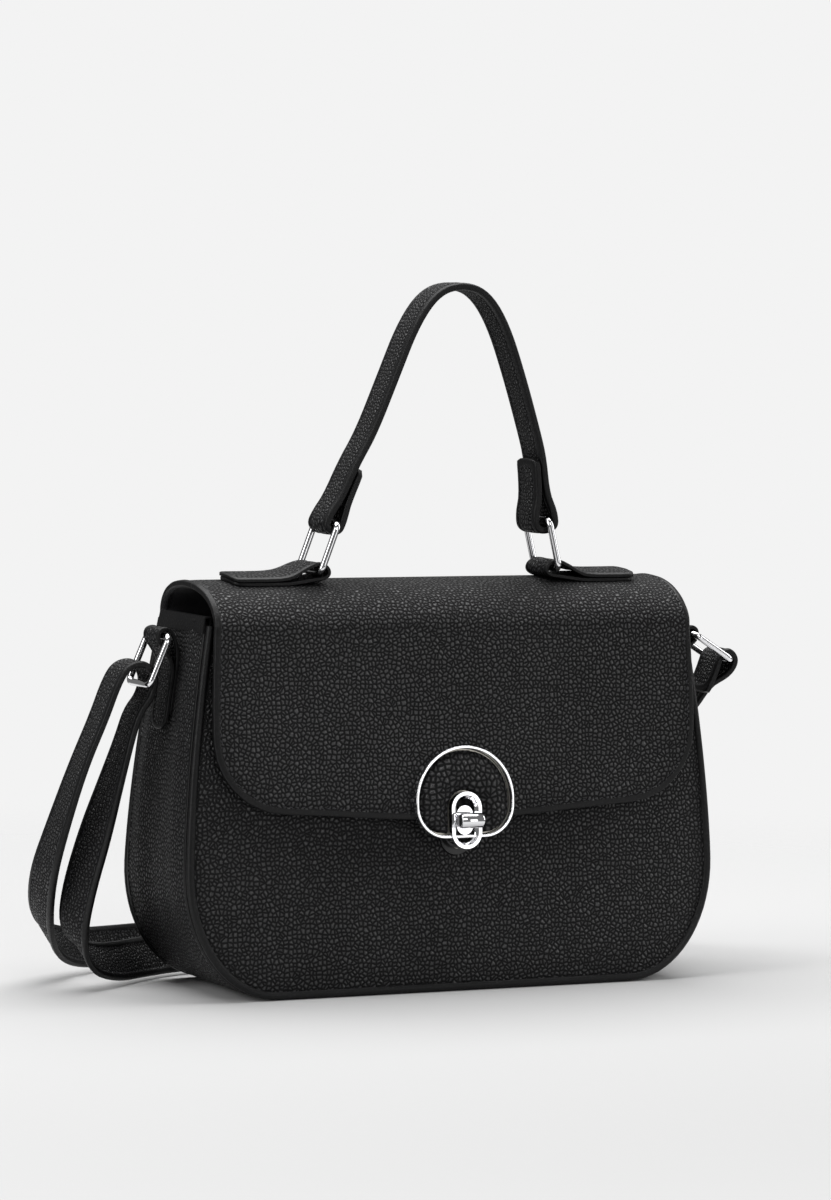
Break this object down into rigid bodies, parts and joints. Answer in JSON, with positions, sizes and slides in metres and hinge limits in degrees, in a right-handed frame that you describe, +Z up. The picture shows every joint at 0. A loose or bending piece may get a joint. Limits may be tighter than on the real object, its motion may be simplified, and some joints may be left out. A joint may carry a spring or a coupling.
{
  "type": "satchel bag",
  "caption": "Structured satchel bag with a rounded base, a curved flap closed by a turn lock, a top carry handle on rings and an adjustable shoulder strap.",
  "frame": {"origin": "centre of the base, on the surface the bag stands on", "axes": "+Z up towards the handle, -Y out of the front with the lock, +X to the bag's right seen from the front"},
  "size_m": [0.3231, 0.1425, 0.3017],
  "materials": {
    "panel_leather": "pebbled, semi-matt",
    "strap_leather": "pebbled, stitched and edge painted",
    "lining_fabric": "fine woven twill",
    "chrome_hardware": "polished nickel chrome",
    "plated_steel": "plain plated",
    "board": "matt board"
  },
  "bodies": {
    "bag_body": {"front_panel": "panel_leather", "back_panel": "panel_leather", "gusset": "panel_leather", "front_welt": "strap_leather", "rear_welt": "strap_leather", "gusset_binding_left": "strap_leather", "gusset_binding_right": "strap_leather", "mouth_binding": "strap_leather", "lining": "lining_fabric", "base_board": "board", "slip_pocket": "lining_fabric", "side_tab_left": "strap_leather", "side_tab_right": "strap_leather", "lock_base_plate": "chrome_hardware", "lock_post": "chrome_hardware", "lock_washer": "plated_steel", "lock_rivets": "plated_steel", "strap_outer_leg": "strap_leather", "strap_inner_leg": "strap_leather", "strap_single": "strap_leather", "strap_slider": "chrome_hardware"},
    "flap_top": {"flap_top_leather": "panel_leather", "flap_top_lining": "lining_fabric", "handle_tab_left": "strap_leather", "handle_tab_right": "strap_leather"},
    "flap_front": {"flap_front_leather": "panel_leather", "flap_front_lining": "lining_fabric", "lock_frame": "chrome_hardware", "lock_face_plate": "plated_steel", "lock_pad": "strap_leather", "lock_collar": "chrome_hardware", "lock_back_plate": "plated_steel", "lock_screws": "plated_steel"},
    "lock_knob": {"lock_knob": "chrome_hardware"},
    "handle_ring_left": {"handle_ring_left": "chrome_hardware"},
    "handle": {"handle": "strap_leather"},
    "handle_ring_right": {"handle_ring_right": "chrome_hardware"},
    "side_ring_left": {"side_ring_left": "chrome_hardware", "strap_turn_left": "strap_leather"},
    "side_ring_right": {"side_ring_right": "chrome_hardware", "strap_end_right": "strap_leather"}
  },
  "joints": [
    {"name": "flap_rear_fold", "type": "hinge", "parent": "bag_body", "child": "flap_top", "pos_m": [0, 0.0286, 0.1615], "axis": [-1, 0, 0], "range_deg": [0, 150]},
    {"name": "flap_front_fold", "type": "hinge", "parent": "flap_top", "child": "flap_front", "pos_m": [0, -0.03261, 0.1578], "axis": [-1, 0, 0], "range_deg": [0, 100]},
    {"name": "lock_turn", "type": "hinge", "parent": "bag_body", "child": "lock_knob", "pos_m": [0, -0.03364, 0.073], "axis": [0, -0.9973, 0.0732], "range_deg": [0, 90]},
    {"name": "handle_ring_left_tilt", "type": "hinge", "parent": "flap_top", "child": "handle_ring_left", "pos_m": [-0.057, -0.004, 0.1784], "axis": [0, 1, 0], "range_deg": [-12, 12]},
    {"name": "handle_sway", "type": "hinge", "parent": "handle_ring_left", "child": "handle", "pos_m": [-0.04922, -0.004, 0.19898], "axis": [0, 1, 0], "range_deg": [-14, 14]},
    {"name": "handle_ring_right_tilt", "type": "hinge", "parent": "flap_top", "child": "handle_ring_right", "pos_m": [0.057, -0.004, 0.1784], "axis": [0, 1, 0], "range_deg": [-12, 12]},
    {"name": "side_ring_left_swing", "type": "hinge", "parent": "bag_body", "child": "side_ring_left", "pos_m": [-0.1235, 0.003, 0.1515], "axis": [0, 1, 0], "range_deg": [-12, 25]},
    {"name": "side_ring_right_swing", "type": "hinge", "parent": "bag_body", "child": "side_ring_right", "pos_m": [0.1295, 0.003, 0.148], "axis": [0, -1, 0], "range_deg": [-30, 15]}
  ],
  "couplings": [
    {"joint": "handle_sway", "follows": "handle_ring_left_tilt", "ratio": -1.134},
    {"joint": "handle_ring_right_tilt", "follows": "handle_ring_left_tilt", "ratio": 0.971}
  ]
}
